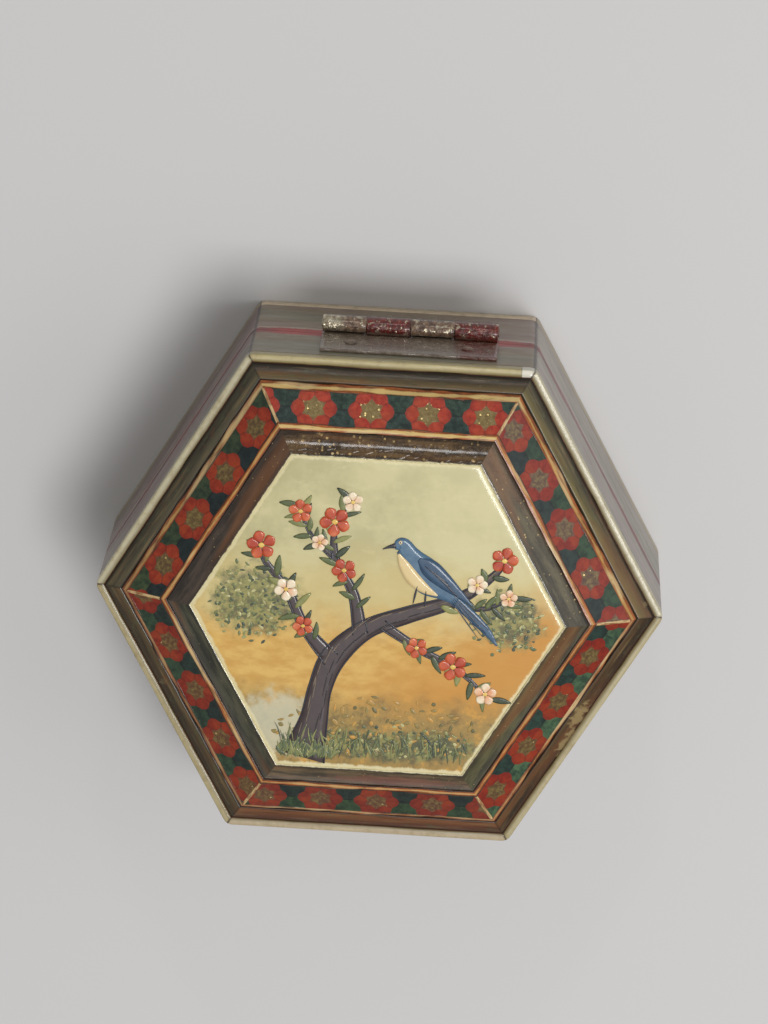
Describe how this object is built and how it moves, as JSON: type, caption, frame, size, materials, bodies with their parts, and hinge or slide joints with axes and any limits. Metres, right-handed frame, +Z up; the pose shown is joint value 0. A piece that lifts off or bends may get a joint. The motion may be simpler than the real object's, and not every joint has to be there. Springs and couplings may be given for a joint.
{
  "type": "hinged_trinket_box",
  "caption": "Small hexagonal wooden box with a hinged raised lid, sloping inlaid mosaic bands and a painted centre panel",
  "frame": {"origin": "centre of the hexagonal underside, on the plane the box stands on", "axes": "+Z up through the lid, +X along two opposite corners, +Y towards the hinge side"},
  "size_m": [0.0642, 0.0582, 0.0312],
  "materials": {
    "box_wood": "dark red stained wood",
    "grey_lacquer": "grey lacquered veneer, satin",
    "bone": "polished bone",
    "dark_border_wood": "dark polished wood",
    "dark_moulding": "dark glossy lacquer with gold streaks",
    "amber_stringing": "amber wood line",
    "pale_stringing": "pale gold line",
    "khatam_green": "green dyed mosaic",
    "khatam_dark_green": "dark blue-green dyed mosaic",
    "khatam_red": "red dyed mosaic",
    "khatam_brass": "worn brass",
    "painted_plate": "painted and varnished bone plate",
    "hinge_metal": "worn pale metal with remains of red lacquer",
    "brad_brass": "worn brass",
    "pin_wire": "dull wire"
  },
  "bodies": {
    "base": {"base_floor": "box_wood", "base_wall_back": "box_wood", "base_wall_back_left": "box_wood", "base_wall_front_left": "box_wood", "base_wall_front": "box_wood", "base_wall_front_right": "box_wood", "base_wall_back_right": "box_wood", "base_veneers": "grey_lacquer", "base_bone_strips": "bone", "hinge_leaf_base": "hinge_metal", "hinge_brads_base": "brad_brass", "hinge_pin": "pin_wire"},
    "lid": {"lid_wall_back": "box_wood", "lid_wall_back_left": "box_wood", "lid_wall_front_left": "box_wood", "lid_wall_front": "box_wood", "lid_wall_front_right": "box_wood", "lid_wall_back_right": "box_wood", "lid_board": "box_wood", "lid_crown_block": "box_wood", "lid_veneers": "grey_lacquer", "lid_bone_strips": "bone", "lid_border_strips": "dark_border_wood", "outer_stringing_amber": "amber_stringing", "outer_stringing_pale": "pale_stringing", "khatam_wedges_outer": "khatam_green", "khatam_wedges_inner": "khatam_dark_green", "khatam_rosettes": "khatam_red", "khatam_stars": "khatam_brass", "mitre_stringing": "pale_stringing", "inner_stringing": "pale_stringing", "inner_mouldings": "dark_moulding", "painted_panel": "painted_plate", "hinge_leaf_lid": "hinge_metal", "hinge_brads_lid": "brad_brass"}
  },
  "joints": [
    {"name": "lid_hinge", "type": "hinge", "parent": "base", "child": "lid", "pos_m": [0.0017, 0.0292, 0.01395], "axis": [-1, 0, 0], "range_deg": [0, 160]}
  ]
}
